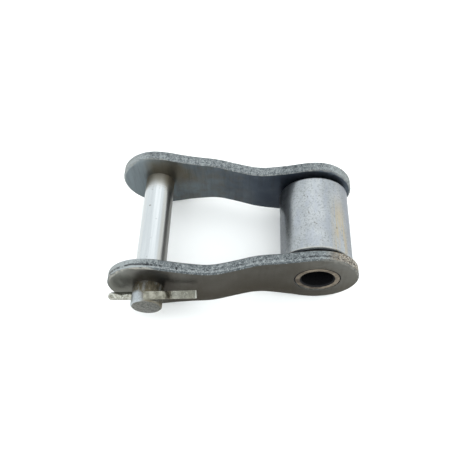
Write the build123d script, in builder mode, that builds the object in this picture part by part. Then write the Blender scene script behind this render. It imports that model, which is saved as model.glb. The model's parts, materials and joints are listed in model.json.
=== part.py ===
"""Offset link of a roller chain: one pitch long, with a roller end and a pin end.

Two cranked plates are joined at their narrow end by a pressed bushing, on which a roller turns.
At their wide end they carry the link pin, which a split cotter holds in place.
Frame: origin at the centre of the bushing bore, +X from the link pin towards the roller,
+Y from the cotter's side towards the pin's head, +Z up. Millimetres.
"""
from build123d import *
import os
from math import cos, radians, sin, sqrt, tan

# Chain
pitch = 41.4
inner_width = 23.2           # between the plates at the roller end
wide_width = 29.2            # between the plates at the pin end
side_gap = 1.0               # roller to plate, each side

# Plates
plate_thickness = 2.8
head_radius = 10.05          # both ends of a plate
waist_radius = 62.4          # concave arc between the two heads
crank_angle = 15.0           # slope of the ramp between the two bends, degrees
crank_bend_radius = 20.0     # of the plate's mid surface
crank_centre = -20.2         # X of the middle of the ramp
plate_edge_break = 0.4

# Bushing and roller
bushing_radius = 5.7
bushing_bore_radius = 4.0
bushing_length = 28.8
bushing_bore_chamfer = 0.35
bushing_edge_chamfer = 0.3
roller_radius = 8.9
roller_clearance = 0.08      # radial, roller on bushing
roller_edge_chamfer = 0.6
roller_bore_chamfer = 0.4

# Link pin
pin_radius = 3.8
pin_clearance = 0.02         # radial, pin in the plates
pin_end_beyond_plate = 5.3
pin_end_chamfer = 0.3
pin_head_radius = 4.9
pin_head_height = 2.0
pin_head_chamfer = 0.7

# Cotter: half-round wire, laid double through the pin's cross hole.
# Its distances are from the pin's axis, along the cross hole.
cotter_hole_radius = 1.1
cotter_hole_from_plate = 2.2
cotter_wire_radius = 1.0
cotter_leg_gap = 0.04        # between the two flats
cotter_rise = 6.0            # of the cross hole towards +X, degrees
cotter_lean = 25.0           # of the folded leg towards the pin's end, degrees
cotter_eye_radius = 1.25     # inside the eye
cotter_eye_centre = 7.6
cotter_neck = 3.9            # where the eye starts
cotter_leg_reach = 12.1      # tip of the straight leg
cotter_fold_start = 3.8
cotter_fold_radius = 1.55
cotter_fold_angle = 130.0
cotter_wrap_radius = 9.1     # of the folded leg, over the pin
cotter_wrap_angle = 34.0

# Worked out from the above
narrow_mid = (inner_width + plate_thickness) / 2
wide_mid = (wide_width + plate_thickness) / 2
wide_outer = wide_width / 2 + plate_thickness
roller_length = inner_width - 2 * side_gap
pin_hole_radius = pin_radius + pin_clearance
pin_length = 2 * wide_outer + pin_end_beyond_plate
cotter_y = -(wide_outer + cotter_hole_from_plate)
across_plates = 2 * wide_outer

os.makedirs("parts", exist_ok=True)


def crank_line(side):
    """Mid line of a plate seen from above, from beyond the pin end to beyond the roller end."""
    half_ramp = (wide_mid - narrow_mid) / 2 / tan(radians(crank_angle))
    FilletPolyline(
        (-pitch - 2 * head_radius, side * wide_mid),
        (crank_centre - half_ramp, side * wide_mid),
        (crank_centre + half_ramp, side * narrow_mid),
        (2 * head_radius, side * narrow_mid),
        radius=crank_bend_radius,
    )


def plate_outline():
    """Outline of a plate in the XZ plane: two round heads joined by two long concave waists."""
    waist_centre = sqrt((head_radius + waist_radius) ** 2 - (pitch / 2) ** 2)
    waist_half_height = waist_centre - waist_radius
    share = head_radius / (head_radius + waist_radius)
    roller_x = -pitch / 2 * share
    pin_x = -pitch - roller_x
    tangent_z = waist_centre * share
    ThreePointArc((roller_x, -tangent_z), (head_radius, 0), (roller_x, tangent_z))
    ThreePointArc((roller_x, tangent_z), (-pitch / 2, waist_half_height), (pin_x, tangent_z))
    ThreePointArc((pin_x, tangent_z), (-pitch - head_radius, 0), (pin_x, -tangent_z))
    ThreePointArc((pin_x, -tangent_z), (-pitch / 2, -waist_half_height), (roller_x, -tangent_z))


def cross_hole_plane(lean=0.0):
    """Plane at the pin's cross hole: X along the hole, Y out of the pin, leaning towards its end."""
    rise, lean = radians(cotter_rise), radians(lean)
    along = Vector(cos(rise), 0, sin(rise))
    outward = Vector(-sin(rise) * cos(lean), -sin(lean), cos(rise) * cos(lean))
    return Plane(origin=(-pitch, cotter_y, 0), x_dir=along, z_dir=along.cross(outward))


def cotter_line():
    """Flat side of the cotter's wire: the straight leg, the eye, and the leg folded over the pin."""
    flat = cotter_leg_gap / 2
    neck_to_eye = cotter_eye_centre - cotter_neck
    neck_radius = (neck_to_eye**2 - cotter_eye_radius**2 + flat**2) / (2 * (cotter_eye_radius - flat))
    share = cotter_eye_radius / (cotter_eye_radius + neck_radius)
    eye_start_x = -cotter_eye_centre + neck_to_eye * share
    eye_start_y = (neck_radius + flat) * share
    eye_far_end = (-cotter_eye_centre - cotter_eye_radius, 0)
    straight = Line((cotter_leg_reach, -flat), (-cotter_neck, -flat))
    TangentArc(straight @ 1, (eye_start_x, -eye_start_y), tangent=straight % 1)
    eye = ThreePointArc((eye_start_x, -eye_start_y), eye_far_end, (eye_start_x, eye_start_y))
    TangentArc(eye @ 1, (-cotter_neck, flat), tangent=eye % 1)
    folded = Line((-cotter_neck, flat), (cotter_fold_start, flat))
    fold = JernArc(folded @ 1, folded % 1, cotter_fold_radius, cotter_fold_angle)
    JernArc(fold @ 1, fold % 1, cotter_wrap_radius, cotter_wrap_angle)


# Cranked plates: a bent strip, blanked to the waisted outline and pierced for bushing and pin
for plate_name, plate_side in (("far_plate", 1), ("near_plate", -1)):
    with BuildPart() as plate:
        with BuildSketch():
            with BuildLine():
                crank_line(plate_side)
            trace(line_width=plate_thickness)
        extrude(amount=2 * head_radius, both=True)
        with BuildSketch(Plane.XZ):
            with BuildLine():
                plate_outline()
            make_face()
        extrude(amount=across_plates, both=True, mode=Mode.INTERSECT)
        rim = plate.edges() - plate.edges().filter_by(Axis.Y) - plate.edges().filter_by(Axis.Z)
        chamfer(rim, length=plate_edge_break)
        with BuildSketch(Plane.XZ):
            Circle(bushing_radius)
            with Locations((-pitch, 0)):
                Circle(pin_hole_radius)
        extrude(amount=across_plates, both=True, mode=Mode.SUBTRACT)
    plate.part.label = plate_name
    export_step(plate.part, f"parts/{plate_name}.step")

# Bushing: a plain tube, flush in the plates, with its bore mouths and outer edges chamfered
with BuildPart() as bushing:
    with BuildSketch(Plane.XZ):
        Circle(bushing_radius)
        Circle(bushing_bore_radius, mode=Mode.SUBTRACT)
    extrude(amount=bushing_length / 2, both=True)
    rings = bushing.edges().filter_by(GeomType.CIRCLE).sort_by(SortBy.RADIUS)
    chamfer(rings[:2], length=bushing_bore_chamfer)
    chamfer(rings[-2:], length=bushing_edge_chamfer)
bushing.part.label = "bushing"
export_step(bushing.part, "parts/bushing.step")

# Roller: turns freely on the bushing between the plates, its bore and outer edges chamfered
with BuildPart() as roller:
    with BuildSketch(Plane.XZ):
        Circle(roller_radius)
        Circle(bushing_radius + roller_clearance, mode=Mode.SUBTRACT)
    extrude(amount=roller_length / 2, both=True)
    rings = roller.edges().filter_by(GeomType.CIRCLE).sort_by(SortBy.RADIUS)
    chamfer(rings[:2], length=roller_bore_chamfer)
    chamfer(rings[-2:], length=roller_edge_chamfer)
roller.part.label = "roller"
export_step(roller.part, "parts/roller.step")

# Link pin: headed outside the far plate, cross-drilled for the cotter beyond the near one
with BuildPart() as link_pin:
    with BuildSketch(Plane.XZ.offset(-wide_outer)):
        with Locations((-pitch, 0)):
            Circle(pin_radius)
    extrude(amount=pin_length)
    chamfer(link_pin.edges().sort_by(Axis.Y)[0], length=pin_end_chamfer)
    with BuildSketch(Plane.XZ.offset(-wide_outer)):
        with Locations((-pitch, 0)):
            Circle(pin_head_radius)
    extrude(amount=-pin_head_height)
    chamfer(link_pin.edges().sort_by(Axis.Y)[-1], length=pin_head_chamfer)
    with BuildSketch(Plane(origin=cross_hole_plane().origin, z_dir=cross_hole_plane().x_dir)):
        Circle(cotter_hole_radius)
    extrude(amount=2 * pin_radius, both=True, mode=Mode.SUBTRACT)
link_pin.part.label = "link_pin"
export_step(link_pin.part, "parts/link_pin.step")

# Cotter: one length of half-round wire, swept along its flat side
with BuildPart() as cotter_pin:
    cotter_plane = cross_hole_plane(cotter_lean)
    with BuildLine(cotter_plane) as flat_side:
        cotter_line()
    tip = Plane(origin=flat_side.line @ 0, x_dir=cotter_plane.z_dir, z_dir=flat_side.line % 0)
    with BuildSketch(tip):
        Circle(cotter_wire_radius)
        Rectangle(
            2 * cotter_wire_radius,
            cotter_wire_radius,
            align=(Align.CENTER, Align.MIN),
            mode=Mode.SUBTRACT,
        )
    sweep(path=flat_side.line)
cotter_pin.part.label = "cotter_pin"
export_step(cotter_pin.part, "parts/cotter_pin.step")
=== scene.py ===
"""Finishes the offset link of a roller chain: rounded edges, steel finishes, floor, light and camera.

Sizes are millimetres where a name or description says so, and metres elsewhere.
"""

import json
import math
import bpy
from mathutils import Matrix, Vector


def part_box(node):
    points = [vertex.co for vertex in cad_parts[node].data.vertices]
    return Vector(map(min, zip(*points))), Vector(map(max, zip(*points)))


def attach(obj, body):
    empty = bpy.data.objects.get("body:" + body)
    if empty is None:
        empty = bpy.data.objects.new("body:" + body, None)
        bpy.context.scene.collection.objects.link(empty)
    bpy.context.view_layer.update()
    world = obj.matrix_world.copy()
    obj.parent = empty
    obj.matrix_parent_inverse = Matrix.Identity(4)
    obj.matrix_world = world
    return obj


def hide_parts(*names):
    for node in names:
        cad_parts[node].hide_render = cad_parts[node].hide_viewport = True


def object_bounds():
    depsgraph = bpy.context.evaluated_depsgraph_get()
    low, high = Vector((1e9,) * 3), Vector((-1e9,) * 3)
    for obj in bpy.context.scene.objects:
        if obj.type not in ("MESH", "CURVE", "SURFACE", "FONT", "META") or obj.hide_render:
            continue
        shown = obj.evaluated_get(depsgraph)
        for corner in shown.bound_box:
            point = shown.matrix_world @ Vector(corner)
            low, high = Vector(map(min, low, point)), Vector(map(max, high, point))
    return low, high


bl_info = {
    "name": "Chain Offset Link",
    "version": (1, 0, 0),
    "blender": (4, 5, 0),
    "location": "View3D > Sidebar > Offset Link",
    "description": "Adds the finished pieces of a roller chain's offset link and a plain studio around it",
    "category": "Object",
}

import bpy
from bpy.props import FloatProperty, FloatVectorProperty, PointerProperty
from mathutils import Matrix

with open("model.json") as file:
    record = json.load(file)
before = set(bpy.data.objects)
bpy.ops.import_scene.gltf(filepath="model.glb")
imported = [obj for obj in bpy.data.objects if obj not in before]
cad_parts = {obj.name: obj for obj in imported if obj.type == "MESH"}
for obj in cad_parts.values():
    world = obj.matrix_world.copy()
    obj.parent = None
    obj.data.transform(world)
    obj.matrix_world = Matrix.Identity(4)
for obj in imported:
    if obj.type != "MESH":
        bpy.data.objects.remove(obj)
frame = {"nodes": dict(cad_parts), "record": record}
cad_low, cad_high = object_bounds()

MM = 0.001
PITCH = 41.4
BODIES = {node: body for body, nodes in frame["record"]["behaviour"]["bodies"].items() for node in nodes}
PLATE_LOW, PLATE_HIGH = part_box("far_plate")
PLATE_THICKNESS = 2.8
WIDE_MID = PLATE_HIGH.y / MM - PLATE_THICKNESS / 2
NARROW_MID = PLATE_LOW.y / MM + PLATE_THICKNESS / 2
CRANK_START, CRANK_END = -28.4, -12.0
ROLLER_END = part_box("roller")[1].y / MM

# Cleaning and rounding of the solids: millimetres and degrees
MERGED_WITHIN = 0.0005
FLAT_WITHIN = 0.4
ROUNDED_OVER = 25.0
SMOOTH_UNDER = 30.0
ROUNDING_STEPS = 3

# Studio: metres, but for the sensor
FLOOR_WIDTH = 4.0
LAMP_WHITE = (1.0, 1.0, 1.0)
LAMP_WARM_WHITE = (1.0, 0.98, 0.94)
LAMP_AMBER = (1.0, 0.82, 0.58)
SENSOR_WIDTH_MM = 36.0
NEAREST_SEEN = 0.005


# Shader maths

# Sockets of a Mix node set to colours
MIX_FACTOR, MIX_FIRST, MIX_SECOND = 0, 6, 7
MIX_COLOUR = 2


class Wire:
    """A number that varies over a surface: an expression on wires adds its Math nodes."""

    def __init__(self, finish, socket):
        self.finish = finish
        self.socket = socket

    def math(self, operation, *values):
        """One Math node, its inputs wires or numbers."""
        return self.finish.node("ShaderNodeMath", {"operation": operation}, dict(enumerate(values)))

    def __add__(self, other):
        return self.math("ADD", self, other)

    __radd__ = __add__

    def __sub__(self, other):
        return self.math("SUBTRACT", self, other)

    def __rsub__(self, other):
        return self.math("SUBTRACT", other, self)

    def __mul__(self, other):
        return self.math("MULTIPLY", self, other)

    __rmul__ = __mul__

    def __truediv__(self, other):
        return self.math("DIVIDE", self, other)

    def __abs__(self):
        return self.math("ABSOLUTE", self)

    def root(self):
        """Its square root."""
        return self.math("SQRT", self)

    def sign(self):
        """-1, 0 or 1."""
        return self.math("SIGN", self)

    def over(self, start, end):
        """Rises smoothly from 0 at start to 1 at end; start may be the larger."""
        if start > end:
            return 1 - self.over(end, start)
        settings = {"interpolation_type": "SMOOTHSTEP"}
        values = {"Value": self, "From Min": start, "From Max": end}
        return self.finish.node("ShaderNodeMapRange", settings, values)

    def near(self, value, reach):
        """1 at value, falling to 0 at reach from it."""
        return abs(self - value).over(reach, 0)


class Finish:
    """A material on a Principled shader, with the object's own place in millimetres.

    x runs from the link pin at -PITCH to the roller at 0, y from the cotter's side to the pin's
    head, and z up. A seed tells one noise from another.
    """

    def __init__(self, name):
        self.material = bpy.data.materials.new(name)
        self.material.use_nodes = True
        self.tree = self.material.node_tree
        self.shader = self.tree.nodes["Principled BSDF"]
        coordinates = self.tree.nodes.new("ShaderNodeTexCoord")
        self.place = self.vector("SCALE", Wire(self, coordinates.outputs["Object"]), scale=1 / MM)
        self.x, self.y, self.z = self.split(self.place)
        _, self.facing_y, _ = self.split(Wire(self, coordinates.outputs["Normal"]))

    def node(self, kind, settings=None, inputs=None, output=0):
        """One node of a kind: its settings first, then the values or wires of its sockets."""
        made = self.tree.nodes.new(kind)
        for name, value in (settings or {}).items():
            setattr(made, name, value)
        for name, value in (inputs or {}).items():
            self.feed(made.inputs[name], value)
        return Wire(self, made.outputs[output])

    def feed(self, socket, value):
        """Links a wire to a socket, or sets the socket's own value."""
        if isinstance(value, Wire):
            self.tree.links.new(value.socket, socket)
        else:
            socket.default_value = value

    def vector(self, operation, first, second=None, scale=None):
        """One Vector Math node."""
        values = {0: first, 1: second, "Scale": scale}
        given = {name: value for name, value in values.items() if value is not None}
        return self.node("ShaderNodeVectorMath", {"operation": operation}, given)

    def split(self, vector):
        """The three parts of a vector."""
        parts = self.node("ShaderNodeSeparateXYZ", None, {0: vector}).socket.node
        return [Wire(self, part) for part in parts.outputs]

    def from_pin_axis(self):
        """Distance from the link pin's axis."""
        right = self.x + PITCH
        return (right * right + self.z * self.z).root()

    def noise(self, per_mm, roughness=0.6, detail=3.0, stretch=(1, 1, 1), seed=0.0):
        """Noise around 0.5, its grains per millimetre; a stretch below 1 lengthens them along an axis."""
        place = self.vector("MULTIPLY", self.place, stretch)
        settings = {"noise_dimensions": "4D"}
        values = {"Vector": place, "W": seed, "Scale": per_mm, "Detail": detail, "Roughness": roughness}
        return self.node("ShaderNodeTexNoise", settings, values)

    def mix(self, factor, first, second):
        """From the first colour, at factor 0, to the second."""
        first, second = (one if isinstance(one, Wire) else (*one, 1.0) for one in (first, second))
        values = {MIX_FACTOR: factor, MIX_FIRST: first, MIX_SECOND: second}
        return self.node("ShaderNodeMix", {"data_type": "RGBA"}, values, MIX_COLOUR)

    def relief(self, height, depth, under=None):
        """Bumps of a height from 0 to 1, depth millimetres deep, over other bumps."""
        values = {"Height": height, "Distance": depth * MM}
        if under is not None:
            values["Normal"] = under
        return self.node("ShaderNodeBump", None, values)

    def done(self, **sockets):
        """Feeds the shader's sockets and gives the material."""
        for name, value in sockets.items():
            self.feed(self.shader.inputs[name.replace("_", " ")], value)
        return self.material


# Modelling


def select_only(piece):
    """Deselects everything else and makes a piece active."""
    bpy.ops.object.select_all(action="DESELECT")
    piece.select_set(True)
    bpy.context.view_layer.objects.active = piece


def take_solid(node, name):
    """A new piece with a CAD node's shape, its loose triangles merged into clean faces."""
    piece = bpy.data.objects.new(name, frame["nodes"][node].data.copy())
    piece.data.materials.clear()
    bpy.context.collection.objects.link(piece)
    select_only(piece)
    if piece.data.has_custom_normals:
        bpy.ops.mesh.customdata_custom_splitnormals_clear()
    bpy.ops.object.mode_set(mode="EDIT")
    bpy.ops.mesh.select_all(action="SELECT")
    bpy.ops.mesh.remove_doubles(threshold=MERGED_WITHIN * MM)
    bpy.ops.mesh.dissolve_limited(angle_limit=math.radians(FLAT_WITHIN))
    bpy.ops.object.mode_set(mode="OBJECT")
    return piece


def round_edges(piece, radius):
    """Rounds the sharp edges to a radius in millimetres, and shades the piece smooth between them."""
    select_only(piece)
    bevel = piece.modifiers.new("rounding", "BEVEL")
    bevel.width = radius * MM
    bevel.segments = ROUNDING_STEPS
    bevel.limit_method = "ANGLE"
    bevel.angle_limit = math.radians(ROUNDED_OVER)
    bevel.use_clamp_overlap = True
    bpy.ops.object.modifier_apply(modifier=bevel.name)
    bpy.ops.object.shade_smooth_by_angle(angle=math.radians(SMOOTH_UNDER))


def stand_for(piece, node, material):
    """The piece replaces a CAD node and moves with its body."""
    piece.data.materials.append(material)
    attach(piece, BODIES[node])
    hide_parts(node)


# Finishes


class PlateFinish(Finish):
    """The plates' masks and tones; near_side and outer tell the two plates and their faces apart."""

    def __init__(self, settings):
        super().__init__("plate_steel")
        self.settings = settings
        self.near_side = self.y.over(1, -1)
        self.outer = (self.facing_y * self.y.sign()).over(-0.5, 0.5)
        self.pin_end = self.x.over(-42.0, -48.0)
        self.roller_end = self.x.over(-7.0, 3.0)
        self.around_pin = self.from_pin_axis()
        self.cloud = self.noise(0.16).over(0.3, 0.7)
        self.speck = self.noise(3.6, roughness=0.75, detail=2.0, seed=7.0)

    def inner_face(self):
        """Painted shade darkening towards the roller and painted light easing it by the roller, mottled in
        the middle, brown above the pin from oil and painted shade.
        """
        # painted shade: the inner faces darken from the pin's end towards the roller
        shade_to_roller = (self.x + 10.0 * (self.cloud - 0.5)).over(-46.0, 0.0)
        tone = self.mix(shade_to_roller, self.settings.inner_light, self.settings.inner)
        mottle = self.noise(0.4, roughness=0.65, seed=11.0).over(0.4, 0.65)
        middle = self.x.over(-46.0, -36.0) * self.x.over(-14.0, -24.0)
        tone = self.mix(0.4 * mottle * middle, tone, self.settings.brown)
        # painted light: lightens the shaded face just by the roller
        tone = self.mix(0.25 * self.x.over(-8.0, -2.0), tone, self.settings.inner_light)
        # oil and painted shade: the inner face browned around and above the pin, where it meets the plate
        oiled = (self.around_pin + 3.0 * (self.cloud - 0.5)).over(13.5, 7.0) * self.z.over(-2.0, 3.0)
        oiled = oiled * self.x.over(-46.0, -42.0)
        return self.mix(0.8 * oiled, tone, self.settings.brown)

    def outer_face(self):
        """Darker along the crank and low down, with painted light brightening the pin's end and a little
        the roller's end.
        """
        low = self.z.over(1.0, -6.0) * self.x.over(-40.0, -34.0)
        darkened = 0.45 * self.x.over(-34.0, -26.0) * (1 - self.roller_end)
        tone = self.mix(0.3 + 0.3 * self.cloud, self.settings.outer, self.settings.outer_light)
        tone = self.mix(darkened, tone, self.settings.outer)
        tone = self.mix(0.5 * low, tone, self.settings.outer)
        # painted light: lifts the shade of the pin and cotter at the pin's end, and a little at the
        # roller's end
        return self.mix(self.pin_end + 0.14 * self.roller_end, tone, self.settings.outer_painted_light)

    def faces(self):
        """Inner and outer faces, streaked with oil down them, with a painted shadow beside the pin."""
        streak = self.noise(1.2, roughness=0.7, stretch=(1, 1, 0.06), seed=1.0)
        # painted shadow: the outer face darkened to the right of the pin, in the tear's dark tone
        pin_shadow = self.outer * self.around_pin.over(8.5, 4.5) * self.x.over(-41.0, -38.0)
        tone = self.mix(self.outer, self.inner_face(), self.outer_face())
        tone = self.mix(0.3 * streak.over(0.45, 0.75), tone, self.settings.oil)
        return self.mix(0.6 * pin_shadow, tone, self.settings.pit)

    def tear(self):
        """The torn line around the rim: how far a point is outside it, and where it is open."""
        mid = WIDE_MID - (WIDE_MID - NARROW_MID) * self.x.over(CRANK_START, CRANK_END)
        across = (abs(self.y) - mid) / PLATE_THICKNESS
        wander = self.noise(0.35, seed=3.0) - 0.5
        line = across - 0.12 - 0.25 * wander
        strong = self.x.over(-33.0, -42.0) + 0.5 * self.x.over(-10.0, -4.0)
        broken = self.noise(1.1, detail=2.0, seed=5.0) + 0.16 * strong
        return line, (line * (1.2 - 0.5 * strong)).near(0, 0.12) * broken.over(0.54, 0.64)

    def rim(self, line, torn):
        """Specked rim, lightened by painted light at both ends, with a painted warm reflection and bright
        specks on the near plate by the roller, pitted, torn along the line.
        """
        near = self.near_side
        blotch = self.noise(1.3, roughness=0.7, seed=8.0)
        pin_side = self.x.over(-36.0, -44.0)
        tip = self.x.over(2.0, 7.0)
        # painted light: the rim a little lighter at the pin's end and, on the far plate, at the roller's
        # end
        mixed = 0.6 * self.speck + 0.4 * blotch + 0.08 * self.pin_end
        mixed = mixed + (1 - near) * (0.08 * self.x.over(1.0, 5.0) - 0.03 * self.x.near(-5.0, 5.0))
        mixed = mixed + near * (0.08 * pin_side + (0.04 + 0.06 * pin_side) * line.over(0.0, 0.12) - 0.03)
        tone = self.mix(mixed.over(0.36, 0.66), self.settings.rim, self.settings.rim_light)
        # painted light: more of the light tone at the pin's end and at the near plate's roller end
        tone = self.mix(0.3 * self.pin_end, tone, self.settings.rim_light)
        tone = self.mix(0.2 * near * self.roller_end, tone, self.settings.rim_light)
        # painted warm reflection: blotched tan over the near rim's roller end
        warm_lit = near * self.x.over(0.5, 4.0) * (0.5 + 0.5 * blotch.over(0.4, 0.6))
        tone = self.mix(0.8 * warm_lit, tone, self.settings.rim_warm_reflection)
        tone = self.mix(0.9 * near * tip * self.speck.over(0.5, 0.56), tone, self.settings.bright)
        tone = self.mix(0.7 * near * tip * self.speck.over(0.46, 0.4), tone, self.settings.pit)
        tone = self.mix(torn * (0.2 + 0.7 * near), tone, self.settings.pit)
        pits = self.noise(0.9, roughness=0.5, detail=1.0, seed=12.0).over(0.68, 0.72)
        return self.mix(0.8 * near * pits, tone, self.settings.pit)

    def worn(self, across_face):
        """Where edges take the painted highlight, patchy like wear: in the upper half, most at both ends of
        the outer faces.
        """
        ends = self.x.over(-36.0, -42.0) + 0.25 * self.x.over(-3.0, 4.0)
        rubbed = self.noise(0.8, roughness=0.7, seed=9.0).over(0.35, 0.6)
        # painted highlight: kept to the upper edges, which face the light
        upper = rubbed * (self.outer * ends + 0.35 * (1 - self.outer)) * self.z.over(1.0, 6.0)
        return upper * across_face.near(0.85, 0.2)


def plate_steel(settings):
    """Blanked and shot-blasted plate: dull faces, a paler rim with a torn fracture line, a painted
    highlight along the upper edges and painted shade on the lower ones.
    """
    finish = PlateFinish(settings)
    across_face = abs(finish.facing_y)
    on_rim = across_face.over(0.93, 0.76)
    edge = across_face.over(0.35, 0.6) * across_face.over(0.97, 0.88)
    line, torn = finish.tear()
    oily = 0.9 * edge * finish.outer * finish.speck.over(0.7, 0.45)
    rim = finish.mix(oily, finish.rim(line, torn), settings.rim)
    tone = finish.mix(on_rim, finish.faces(), rim)
    # painted shade: the outer faces' lower edges darkened to the outer tone
    tone = finish.mix(0.7 * edge * finish.outer * finish.z.over(2.0, -3.0), tone, settings.outer)
    # painted highlight: the upper edges lightened to bare steel, in patches
    tone = finish.mix(0.9 * edge * finish.worn(across_face), tone, settings.edge)

    grain = finish.noise(2.6, roughness=0.7)
    crease = finish.x.near(CRANK_END - 0.5, 0.7) + finish.x.near(CRANK_START + 0.5, 0.7)
    bumps = finish.relief(grain, 0.015)
    bumps = finish.relief(on_rim * finish.speck, 0.12, bumps)
    bumps = finish.relief(1 - on_rim * torn, 0.1, bumps)
    bumps = finish.relief(1 - crease, 0.02, bumps)
    rough = 0.34 + 0.04 * finish.outer * (finish.pin_end - 1) + 0.12 * (grain - 0.5) + 0.2 * on_rim
    return finish.done(
        Base_Color=tone,
        Metallic=0.85,
        Roughness=rough,
        Normal=bumps,
        Specular_Tint=(0.5, 0.47, 0.43, 1.0),
    )


def roller_steel(settings):
    """Turned and tumbled bright steel: fine rings, mottled grain, a painted warm reflection along one flank
    and painted highlights at its ends.
    """
    finish = Finish("roller_steel")
    grain = finish.noise(2.2, roughness=0.75)
    rings = finish.noise(1.0, roughness=0.7, stretch=(0.05, 3.0, 0.05), seed=2.0)
    cloud = finish.noise(0.2, seed=4.0)
    tone = finish.mix(cloud.over(0.35, 0.65), settings.tone, settings.tone_light)
    tone = finish.mix(0.85 * grain.over(0.5, 0.62), tone, settings.grain)
    blued = finish.noise(0.7, detail=2.0, stretch=(1, 0.3, 1), seed=7.0).over(0.45, 0.65)
    tone = finish.mix(0.5 * blued, tone, settings.blued)
    # painted warm reflection: straw streaks along the flank that faces the warm card
    streak = finish.noise(1.1, roughness=0.65, stretch=(1, 0.07, 1), seed=5.0)
    flank = finish.x.over(2.5, 4.5) * finish.x.over(7.2, 6.4)
    flank = flank * finish.z.over(-2.0, 3.0) * finish.y.over(8.0, -4.0)
    tone = finish.mix(flank * streak.over(0.38, 0.56), tone, settings.warm)
    pits = finish.noise(1.5, detail=2.0, seed=6.0).over(0.65, 0.69)
    tone = finish.mix(0.7 * pits, tone, settings.pit)
    # painted highlight: the rounded ends catching the light, weaker on the right
    lip_highlight = abs(finish.y).over(ROLLER_END - 0.8, ROLLER_END - 0.5) * (1 - 0.8 * finish.x.over(2.0, 4.0))
    tone = finish.mix(0.65 * lip_highlight, tone, settings.lip_highlight)
    bumps = finish.relief(rings, 0.004)
    bumps = finish.relief(grain, 0.012, bumps)
    rough = settings.roughness + 0.12 * (grain - 0.5) + 0.1 * (rings - 0.5)
    return finish.done(
        Base_Color=tone,
        Metallic=1.0,
        Roughness=rough,
        Normal=bumps,
        Specular_Tint=(0.6, 0.6, 0.62, 1.0),
    )


def bushing_steel(settings):
    """Blackened tube whose pressed-in ends are rubbed bare."""
    finish = Finish("bushing_steel")
    bare = abs(finish.facing_y).over(0.8, 0.97)
    grain = finish.noise(2.5, roughness=0.7)
    stain = finish.noise(0.35, seed=2.0).over(0.35, 0.65)
    end = finish.mix(stain, settings.end, settings.end_light)
    colour = finish.mix(bare, settings.bore, end)
    rough = 0.55 - 0.15 * bare + 0.1 * (grain - 0.5)
    return finish.done(
        Base_Color=colour,
        Metallic=0.6,
        Roughness=rough,
        Normal=finish.relief(grain, 0.02),
        Specular_Tint=(0.4, 0.4, 0.4, 1.0),
    )


def pin_steel(settings):
    """Polished shank with painted shade and painted reflections on its sides, dulled and stained outside
    the plates with painted shade by them, and a rough cropped end.
    """
    finish = Finish("pin_steel")
    beyond = abs(finish.y) - PLATE_HIGH.y / MM
    outside = beyond.over(-0.6, 0)
    end = finish.facing_y.over(-0.8, -0.97)
    grain = finish.noise(2.4, roughness=0.75, detail=4.0)
    lines = finish.noise(0.9, detail=2.0, stretch=(1.5, 0.08, 1.5), seed=2.0)
    stain = finish.noise(0.5, seed=6.0)
    right = finish.x + PITCH

    # Shank: bright, with painted shade down the flank towards the roller, a painted warm reflection beside
    # it, and oil where it enters the far plate, its sides there darkened by painted shade
    shank = finish.mix(lines.over(0.3, 0.7), settings.shank, settings.shank_light)
    pits = finish.noise(0.8, roughness=0.5, detail=2.0, seed=4.0).over(0.66, 0.74)
    shank = finish.mix(0.5 * pits, shank, settings.stain)
    seat = (finish.y + 2.0 * (stain - 0.5)).over(WIDE_MID - 7.0, WIDE_MID - 2.0)
    shank = finish.mix(0.7 * seat, shank, settings.amber)
    # painted shade: the seat's sides darkened, as on a lit cylinder
    shank = finish.mix(0.8 * seat * abs(right).over(0.6, 3.2), shank, settings.stain)
    # painted warm reflection: an amber strip down the side towards the roller
    shank = finish.mix(0.4 * right.near(2.3, 0.8), shank, settings.amber)
    # painted shade: the flank towards the roller darkened
    flank = (right + 0.8 * (lines - 0.5)).over(2.4, 3.1)
    shank = finish.mix(0.6 * flank, shank, settings.stain)

    # Outside the plates: bluish steel, browned by painted shade by the plate and down the side under the
    # cotter's fold over a little stain, a painted highlight down the middle, a clouded head
    near = finish.y.over(1, -1)
    by_plate = beyond.over(3.6, 1.8) * (1 - abs(finish.facing_y))
    # painted shade and stain: brown by the plate and on the side towards the roller, over random stain
    darkened = 0.8 * near * right.over(-2.6, 0.6) + 0.9 * by_plate + 0.8 * (stain - 0.5)
    dull = finish.mix(darkened.over(0.25, 0.95), settings.outside, settings.stain)
    scratched = finish.noise(1.5, roughness=0.7, stretch=(1, 0.35, 1), seed=5.0)
    # painted highlight: a light streak just left of the pin's middle, added to lighter scratched patches
    rubbed = scratched.over(0.52, 0.62) + right.near(-0.4, 0.7)
    dull = finish.mix(0.4 * by_plate * rubbed, dull, settings.outside)
    # painted shade: darker scratched patches by the plate
    dull = finish.mix(0.6 * by_plate * scratched.over(0.48, 0.38), dull, settings.crop)
    dull = finish.mix(0.65 * (1 - near) * stain.over(0.3, 0.6), dull, settings.stain)
    dull = finish.mix(0.35 * grain.over(0.5, 0.62), dull, settings.stain)
    colour = finish.mix(outside, shank, dull)
    cropped = finish.noise(1.6, roughness=0.65, detail=2.0, seed=8.0)
    chips = finish.noise(3.0, roughness=0.7, detail=2.0, seed=9.0)
    grains = (0.35 * cropped + 0.65 * chips).over(0.42, 0.58)
    crop = finish.mix(grains, settings.crop, settings.crop_light)
    # painted highlight: the rounded rim of the cropped end lighter
    crop = finish.mix(0.4 * finish.from_pin_axis().near(3.4, 0.35), crop, settings.crop_light)
    colour = finish.mix(end, colour, crop)
    bumps = finish.relief(lines, 0.003)
    bumps = finish.relief(outside * grain, 0.04, bumps)
    bumps = finish.relief(end * cropped, 0.15, bumps)
    rough = settings.roughness + 0.2 * outside + 0.3 * seat + 0.15 * flank + 0.1 * (grain - 0.5)
    return finish.done(Base_Color=colour, Metallic=1.0, Roughness=rough, Normal=bumps)


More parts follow.
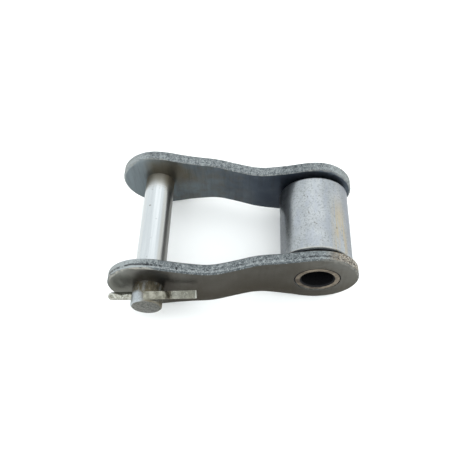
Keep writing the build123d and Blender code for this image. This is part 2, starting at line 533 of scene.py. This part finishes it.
def cotter_steel(settings):
    """Drawn half-round wire, satin, darker beyond the fold with light specks and a light band, a painted
    shadow where the straight leg leaves the pin, and painted highlights on the hammered eye and the tip.
    """
    finish = Finish("cotter_steel")
    grain = finish.noise(1.8, roughness=0.7)
    dents = finish.noise(0.9, detail=2.0, seed=4.0)
    patch = finish.noise(0.6, roughness=0.65, seed=2.0).over(0.38, 0.62)
    colour = finish.mix(patch, settings.tone, settings.tone_light)
    film = finish.noise(0.7, seed=3.0).over(0.6, 0.4)
    # darker beyond the fold, over the straight leg
    oiled = finish.x.over(-37.0, -35.5) * (0.4 + 0.6 * film)
    colour = finish.mix(0.8 * oiled, colour, settings.oiled)
    fleck = finish.noise(2.6, roughness=0.7, seed=6.0)
    colour = finish.mix(0.7 * oiled * fleck.over(0.5, 0.6), colour, settings.tone_light)
    leg = finish.y.over(-18.0, -18.6)
    colour = finish.mix(0.15 * finish.x.near(-34.2, 1.6), colour, settings.bright)
    # painted shadow: the straight leg darkened where the fold shades it
    colour = finish.mix(0.7 * finish.x.near(-36.0, 0.9) * leg, colour, settings.stain)
    eye = finish.x.over(-44.5, -46.0)
    # painted highlights: bright flecks on the eye
    colour = finish.mix(eye * (0.1 + 0.7 * fleck.over(0.45, 0.6)), colour, settings.bright)
    # painted highlight: the straight leg's tip
    colour = finish.mix(0.6 * finish.x.over(-29.8, -29.5), colour, settings.bright)
    bumps = finish.relief(grain, 0.03)
    bumps = finish.relief(dents, 0.2, bumps)
    rough = 0.3 - 0.12 * eye + 0.2 * (grain - 0.5)
    return finish.done(Base_Color=colour, Metallic=1.0, Roughness=rough, Normal=bumps)


def floor_paper(settings):
    """Pale matt backdrop paper."""
    finish = Finish("floor_paper")
    fibre = finish.noise(0.8)
    colour = finish.mix(fibre, [0.99 * part for part in settings.floor], settings.floor)
    return finish.done(Base_Color=colour, Roughness=0.9)


# Settings


def colour(name, description, value):
    """A colour property."""
    return FloatVectorProperty(
        name=name, description=description, subtype="COLOR", min=0.0, max=1.0, default=value
    )


def share(name, description, value):
    """A property from 0 to 1."""
    return FloatProperty(
        name=name, description=description, subtype="FACTOR", min=0.0, max=1.0, default=value
    )


def power(name, description, value):
    """A lamp's power in watts."""
    return FloatProperty(name=name, description=description, subtype="POWER", min=0.0, default=value)


def millimetres(name, description, value):
    """A small length in millimetres."""
    return FloatProperty(name=name, description=description, min=0.0, soft_max=2.0, default=value)


class PlateSettings(bpy.types.PropertyGroup):
    """The two cranked plates"""

    rounding: millimetres("Edge rounding", "Radius of the tumbled edges, in mm", 0.2)
    # painted shade: the first inner tone is the faces' shaded end by the roller, the second their lit end
    # by the pin
    inner: colour("Inner face", "Greasy end of the inner faces, by the roller", (0.034, 0.043, 0.062))
    inner_light: colour("Inner face, light", "Clean end of those faces, by the pin", (0.134, 0.157, 0.169))
    # brown is old oil, and around the pin also painted shade
    brown: colour("Brown", "Old oil on the inner faces and around the pin", (0.095, 0.082, 0.058))
    # Of the outer-face tones, the darker one also serves as painted shade on the lower edges, and the
    # bright one is painted light at the faces' ends.
    outer: colour("Outer face", "Darker tone of the oiled outer faces", (0.038, 0.035, 0.03))
    outer_light: colour("Outer face, light", "Lighter tone of those faces", (0.128, 0.126, 0.118))
    outer_painted_light: colour("Outer face, bright", "Rubbed pin end of those faces", (0.135, 0.139, 0.128))
    rim: colour("Rim", "Darker specks of the sheared rim", (0.05, 0.057, 0.062))
    rim_light: colour("Rim, light", "Lighter specks of the sheared rim", (0.27, 0.288, 0.29))
    bright: colour("Rim, bright", "Rubbed specks at the rim's roller end", (0.42, 0.4, 0.36))
    # edge is a painted highlight along the upper edges, patchy like bare steel
    edge: colour("Edge", "Bare steel along worn edges", (0.32, 0.305, 0.27))
    # pit is the torn line's dark tone, and also the painted shadow beside the pin
    pit: colour("Tear", "Dark torn line around the rim", (0.012, 0.012, 0.015))
    oil: colour("Oil", "Dark streaks down the faces", (0.03, 0.027, 0.022))
    # painted warm reflection on the near rim by the roller
    rim_warm_reflection: colour("Rust", "Tan bloom on the near rim by the roller", (0.15, 0.108, 0.066))


class RollerSettings(bpy.types.PropertyGroup):
    """The roller"""

    rounding: millimetres("Edge rounding", "Radius between the chamfers and the faces, in mm", 0.2)
    roughness: share("Roughness", "Roughness of the turned surface", 0.3)
    tone: colour("Tone", "Darker clouds of the bright steel", (0.24, 0.25, 0.257))
    tone_light: colour("Tone, light", "Lighter clouds of the bright steel", (0.285, 0.296, 0.303))
    grain: colour("Grain", "Fine darker grain", (0.16, 0.168, 0.172))
    blued: colour("Blued", "Faint blue-grey patches", (0.235, 0.25, 0.28))
    # warm is a painted warm reflection along one flank
    warm: colour("Warm streaks", "Straw-coloured streaks along one flank", (0.3, 0.264, 0.2))
    # painted highlight along each end
    lip_highlight: colour("Lip", "Rubbed ring at each end", (0.4, 0.39, 0.36))
    pit: colour("Pits", "Small stained specks", (0.09, 0.08, 0.07))


class BushingSettings(bpy.types.PropertyGroup):
    """The bushing"""

    rounding: millimetres("Edge rounding", "Radius at the rings' edges, in mm", 0.06)
    end: colour("End", "Darker tone of the rubbed ends", (0.045, 0.034, 0.024))
    end_light: colour("End, light", "Lighter tone of the rubbed ends", (0.165, 0.136, 0.102))
    bore: colour("Bore", "Black oxide in the bore", (0.006, 0.006, 0.007))


class PinSettings(bpy.types.PropertyGroup):
    """The link pin"""

    rounding: millimetres("Edge rounding", "Radius of the rounded edges, in mm", 0.15)
    roughness: share("Roughness", "Roughness of the polished shank", 0.19)
    shank: colour("Shank", "Darker streaks of the polished shank", (0.36, 0.372, 0.378))
    shank_light: colour("Shank, light", "Lighter streaks of the polished shank", (0.39, 0.402, 0.408))
    # amber is varnished oil and also a painted warm reflection on the shank; stain is an oil stain and also
    # painted shade on the pin's sides and by the plates
    amber: colour("Amber", "Varnished oil where the shank enters the far plate", (0.23, 0.2, 0.145))
    outside: colour("Outside", "Duller steel outside the plates", (0.3, 0.32, 0.333))
    stain: colour("Stain", "Brown oil stain", (0.1, 0.086, 0.06))
    crop: colour("Cropped end", "Darker grains of the cropped end", (0.03, 0.03, 0.026))
    crop_light: colour("Cropped end, light", "Lighter grains of the cropped end", (0.115, 0.114, 0.098))


class CotterSettings(bpy.types.PropertyGroup):
    """The split cotter"""

    rounding: millimetres("Edge rounding", "Radius of the wire's edges, in mm", 0.08)
    tone: colour("Tone", "Darker patches of the drawn wire", (0.125, 0.12, 0.095))
    tone_light: colour("Tone, light", "Lighter patches of the drawn wire", (0.25, 0.24, 0.2))
    oiled: colour("Oiled leg", "Darker oiled steel of the straight leg", (0.11, 0.11, 0.094))
    # stain is a painted shadow where the fold shades the straight leg; bright draws painted highlights on
    # the eye and the tip
    stain: colour("Stain", "Brown oil where the straight leg leaves the pin", (0.05, 0.04, 0.026))
    bright: colour("Bright", "Rubbed eye and tip", (0.4, 0.4, 0.362))


class StudioSettings(bpy.types.PropertyGroup):
    """Floor, light and camera"""

    lens: FloatProperty(
        name="Lens", description="Focal length in mm", unit="CAMERA", default=44.25, min=1.0
    )
    camera_place: FloatVectorProperty(
        name="Camera",
        description="Place of the camera",
        subtype="TRANSLATION",
        default=(-0.01716, -0.07703, 0.12512),
    )
    camera_turn: FloatVectorProperty(
        name="Camera turn",
        description="Heading to the right of +Y, tilt above the horizon and roll",
        subtype="EULER",
        default=(math.radians(-3.55), math.radians(-58.52), math.radians(-2.06)),
    )
    floor: colour("Floor", "Colour of the floor", (0.95, 0.94, 0.925))
    sky: colour("Sky", "Colour of the light from all round", (0.93, 0.98, 1.0))
    sky_strength: FloatProperty(
        name="Sky strength", description="Strength of the light from all round", default=1.95, min=0.0
    )
    window: power("Window", "Power of the large soft lamp behind", 0.27)
    strip: power("Strip", "Power of the long lamp in front that lights the edges", 0.18)
    card: power("Card", "Power of the low warm card on the right", 0.03)


# Pieces


class LINK_OT_cranked_plates(bpy.types.Operator):
    """Add the two cranked plates"""

    bl_idname = "link.cranked_plates"
    bl_label = "Cranked Plates"

    def execute(self, context):
        settings = context.scene.link_plates
        material = plate_steel(settings)
        for node, name in (("near_plate", "plate_near"), ("far_plate", "plate_far")):
            plate = take_solid(node, name)
            round_edges(plate, settings.rounding)
            stand_for(plate, node, material)
        return {"FINISHED"}


class LINK_OT_bushing(bpy.types.Operator):
    """Add the bushing"""

    bl_idname = "link.bushing"
    bl_label = "Bushing"

    def execute(self, context):
        settings = context.scene.link_bushing
        bushing = take_solid("bushing", "bushing_tube")
        round_edges(bushing, settings.rounding)
        stand_for(bushing, "bushing", bushing_steel(settings))
        return {"FINISHED"}


class LINK_OT_roller(bpy.types.Operator):
    """Add the roller"""

    bl_idname = "link.roller"
    bl_label = "Roller"

    def execute(self, context):
        settings = context.scene.link_roller
        roller = take_solid("roller", "roller_sleeve")
        round_edges(roller, settings.rounding)
        stand_for(roller, "roller", roller_steel(settings))
        return {"FINISHED"}


class LINK_OT_link_pin(bpy.types.Operator):
    """Add the link pin"""

    bl_idname = "link.link_pin"
    bl_label = "Link Pin"

    def execute(self, context):
        settings = context.scene.link_pin
        pin = take_solid("link_pin", "pin_headed")
        round_edges(pin, settings.rounding)
        stand_for(pin, "link_pin", pin_steel(settings))
        return {"FINISHED"}


class LINK_OT_cotter(bpy.types.Operator):
    """Add the split cotter"""

    bl_idname = "link.cotter"
    bl_label = "Split Cotter"

    def execute(self, context):
        settings = context.scene.link_cotter
        cotter = take_solid("cotter_pin", "cotter_split")
        round_edges(cotter, settings.rounding)
        stand_for(cotter, "cotter_pin", cotter_steel(settings))
        return {"FINISHED"}


class LINK_OT_studio(bpy.types.Operator):
    """Add the floor, the lights and the camera"""

    bl_idname = "link.studio"
    bl_label = "Studio"

    def execute(self, context):
        settings = context.scene.link_studio
        bpy.ops.object.select_all(action="DESELECT")
        bpy.ops.mesh.primitive_plane_add(size=FLOOR_WIDTH, location=(0, 0, cad_low.z))
        floor = context.object
        floor.name = "floor"
        bpy.ops.object.transform_apply(location=True)
        floor.data.materials.append(floor_paper(settings))

        world = bpy.data.worlds.new("studio")
        world.use_nodes = True
        light = world.node_tree.nodes["Background"]
        light.inputs["Color"].default_value = (*settings.sky, 1.0)
        light.inputs["Strength"].default_value = settings.sky_strength
        context.scene.world = world

        self.lamp("window", settings.window, LAMP_WHITE, place=(0.0, 0.32, 0.5), width=0.45, height=0.35)
        self.lamp("strip", settings.strip, LAMP_WARM_WHITE, place=(0.0, -0.4, 0.24), width=0.9, height=0.09)
        self.lamp("card", settings.card, LAMP_AMBER, place=(0.42, 0.27, 0.04), width=0.2, height=0.16)

        bpy.ops.object.camera_add()
        camera = context.object
        heading, tilt, roll = settings.camera_turn
        turn = Matrix.Rotation(-heading, 4, "Z") @ Matrix.Rotation(math.pi / 2 + tilt, 4, "X")
        turn = turn @ Matrix.Rotation(roll, 4, "Z")
        camera.matrix_world = Matrix.Translation(settings.camera_place) @ turn
        camera.data.lens = settings.lens
        camera.data.sensor_width = SENSOR_WIDTH_MM
        camera.data.clip_start = NEAREST_SEEN
        context.scene.camera = camera
        context.scene.view_settings.view_transform = "Standard"
        return {"FINISHED"}

    def lamp(self, name, power, tint, place, width, height):
        """A flat lamp that faces the middle of the link."""
        bpy.ops.object.light_add(type="AREA", location=place)
        lamp = bpy.context.object
        lamp.name = name
        lamp.data.shape = "RECTANGLE"
        lamp.data.size = width
        lamp.data.size_y = height
        lamp.data.energy = power
        lamp.data.color = tint
        middle = (cad_low + cad_high) / 2
        lamp.rotation_euler = (middle - lamp.location).to_track_quat("-Z", "Y").to_euler()


class LINK_PT_sidebar(bpy.types.Panel):
    """Lists the pieces of the link and their settings"""

    bl_idname = "LINK_PT_sidebar"
    bl_label = "Offset Link"
    bl_space_type = "VIEW_3D"
    bl_region_type = "UI"
    bl_category = "Offset Link"

    def draw(self, context):
        for operator in OPERATORS:
            self.layout.operator(operator.bl_idname)
        for name, group in GROUPS.items():
            box = self.layout.box()
            box.label(text=group.__doc__)
            for setting in group.__annotations__:
                box.prop(getattr(context.scene, name), setting)


GROUPS = {
    "link_plates": PlateSettings,
    "link_bushing": BushingSettings,
    "link_roller": RollerSettings,
    "link_pin": PinSettings,
    "link_cotter": CotterSettings,
    "link_studio": StudioSettings,
}
OPERATORS = (
    LINK_OT_cranked_plates,
    LINK_OT_bushing,
    LINK_OT_roller,
    LINK_OT_link_pin,
    LINK_OT_cotter,
    LINK_OT_studio,
)
CLASSES = (*GROUPS.values(), *OPERATORS, LINK_PT_sidebar)


def register():
    """Registers the classes and hangs the settings on the scene."""
    for one in CLASSES:
        bpy.utils.register_class(one)
    for name, group in GROUPS.items():
        setattr(bpy.types.Scene, name, PointerProperty(type=group))


def unregister():
    """Takes the settings and the classes away again."""
    for name in GROUPS:
        delattr(bpy.types.Scene, name)
    for one in reversed(CLASSES):
        bpy.utils.unregister_class(one)


def main():
    """Makes every piece and the studio."""
    register()
    bpy.ops.link.cranked_plates()
    bpy.ops.link.bushing()
    bpy.ops.link.roller()
    bpy.ops.link.link_pin()
    bpy.ops.link.cotter()
    bpy.ops.link.studio()


if __name__ == "__main__":
    main()
